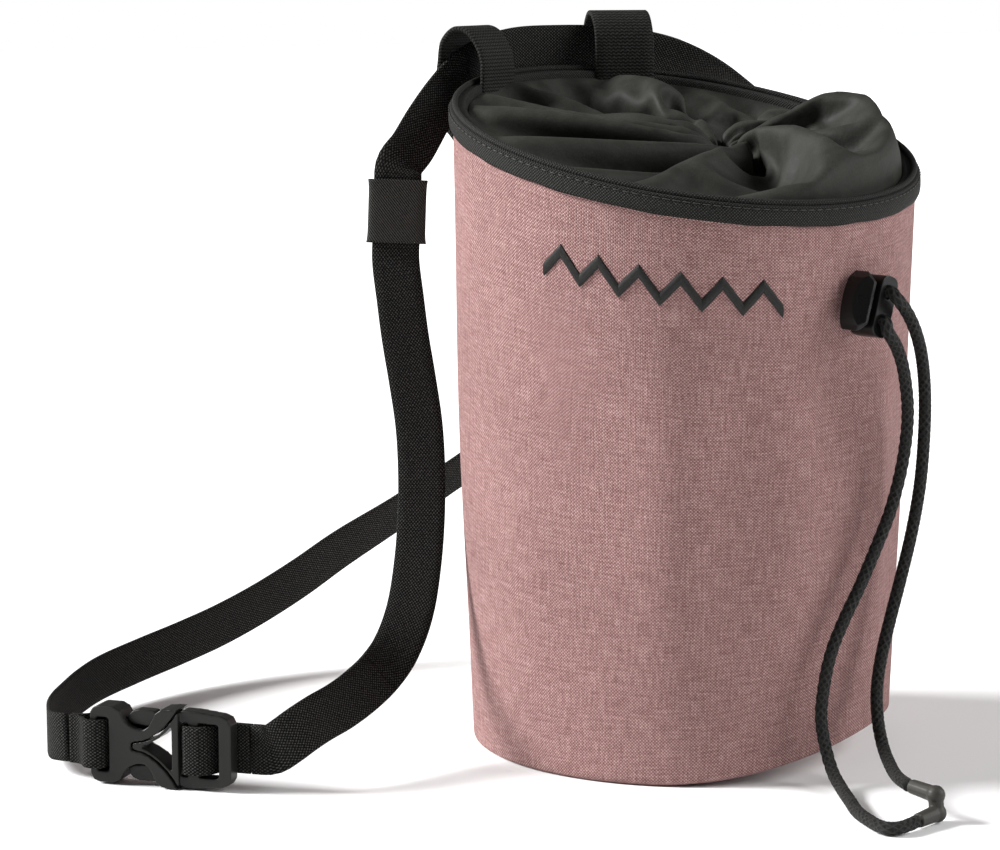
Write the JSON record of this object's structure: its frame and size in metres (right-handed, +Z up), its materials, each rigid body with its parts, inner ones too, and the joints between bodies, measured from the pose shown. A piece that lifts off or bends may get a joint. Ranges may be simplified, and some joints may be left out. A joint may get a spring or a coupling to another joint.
{
  "type": "chalk bag",
  "caption": "Round fabric chalk bag with a slanted stiff rim, a gathered drawcord closure with a push-button cord lock, and a webbing waist belt with a side-release buckle.",
  "frame": {"origin": "centre of the flat base, on the surface that the bag stands on", "axes": "+Z up, +Y towards the wearer's back where the rim is highest and the belt loops are, +X to the left of the wearer"},
  "size_m": [0.304, 0.2892, 0.2283],
  "materials": {
    "shell_fabric": "plain-woven melange polyester, dusty pink",
    "lining_fabric": "short fleece, dark grey",
    "closure_fabric": "thin coated nylon, dark grey",
    "webbing": "woven nylon webbing, near black",
    "thread": "satin stitched thread, black",
    "cord": "braided cord, black",
    "buckle_plastic": "moulded acetal, dark olive grey, satin",
    "lock_plastic": "moulded nylon, black, satin",
    "stiffener": "plain plastic strip",
    "spring_steel": "drawn spring wire"
  },
  "bodies": {
    "bag": {"outer_shell": "shell_fabric", "base_panel": "shell_fabric", "lining_base": "lining_fabric", "lining_wall": "lining_fabric", "rim_stiffener": "stiffener", "rim_binding": "webbing", "rim_piping": "webbing", "closure_collar": "closure_fabric", "closure_hem_cord": "cord", "stitched_zigzag": "thread", "belt_loop_left": "webbing", "belt_loop_right": "webbing", "loop_bartack_left": "thread", "loop_bartack_right": "thread", "belt_rear": "webbing", "belt_between_loops": "webbing", "belt_front": "webbing", "belt_front_end": "webbing", "belt_tail": "webbing", "belt_tail_end": "webbing", "belt_sewn_loop": "webbing", "buckle_socket": "buckle_plastic", "cord_exit_eyelet": "lock_plastic", "drawcord_upper": "cord", "drawcord_lower": "cord", "drawcord_riser_upper": "cord", "drawcord_riser_lower": "cord", "cord_end_clip": "lock_plastic"},
    "plug_half": {"buckle_plug": "buckle_plastic", "belt_ladder_wrap": "webbing"},
    "prong_upper": {"buckle_prong_upper": "buckle_plastic"},
    "prong_lower": {"buckle_prong_lower": "buckle_plastic"},
    "keeper": {"belt_keeper": "webbing"},
    "cord_lock": {"cord_lock_body": "lock_plastic", "cord_lock_spring": "spring_steel"},
    "lock_button": {"cord_lock_button": "lock_plastic"}
  },
  "joints": [
    {"name": "buckle_release", "type": "slide", "parent": "bag", "child": "plug_half", "axis": [0.6374, -0.7705, 0], "range_m": [0, 0.022], "deforming": ["belt_front_end", "belt_tail_end"]},
    {"name": "prong_upper_squeeze", "type": "hinge", "parent": "plug_half", "child": "prong_upper", "pos_m": [-0.16774, 0.02998, 0.0194], "axis": [0.7705, 0.6374, 0], "range_deg": [-9, 0], "stiffness_Nm_per_rad": 0.4},
    {"name": "prong_lower_squeeze", "type": "hinge", "parent": "plug_half", "child": "prong_lower", "pos_m": [-0.16774, 0.02998, 0.0054], "axis": [0.7705, 0.6374, 0], "range_deg": [0, 9], "stiffness_Nm_per_rad": 0.4},
    {"name": "keeper_slide", "type": "slide", "parent": "bag", "child": "keeper", "axis": [-0.099, -0.086, -0.9914], "range_m": [-0.003, 0.003]},
    {"name": "cord_lock_slide", "type": "slide", "parent": "bag", "child": "cord_lock", "axis": [0.2079, -0.9781, 0], "range_m": [0, 0.0045], "deforming": ["drawcord_upper", "drawcord_lower"]},
    {"name": "lock_button_press", "type": "slide", "parent": "cord_lock", "child": "lock_button", "axis": [0.9303, 0.1977, -0.309], "range_m": [0, 0.002], "stiffness_N_per_m": 1500, "deforming": ["cord_lock_spring"]}
  ],
  "couplings": [
    {"joint": "prong_lower_squeeze", "follows": "prong_upper_squeeze", "ratio": -1}
  ]
}
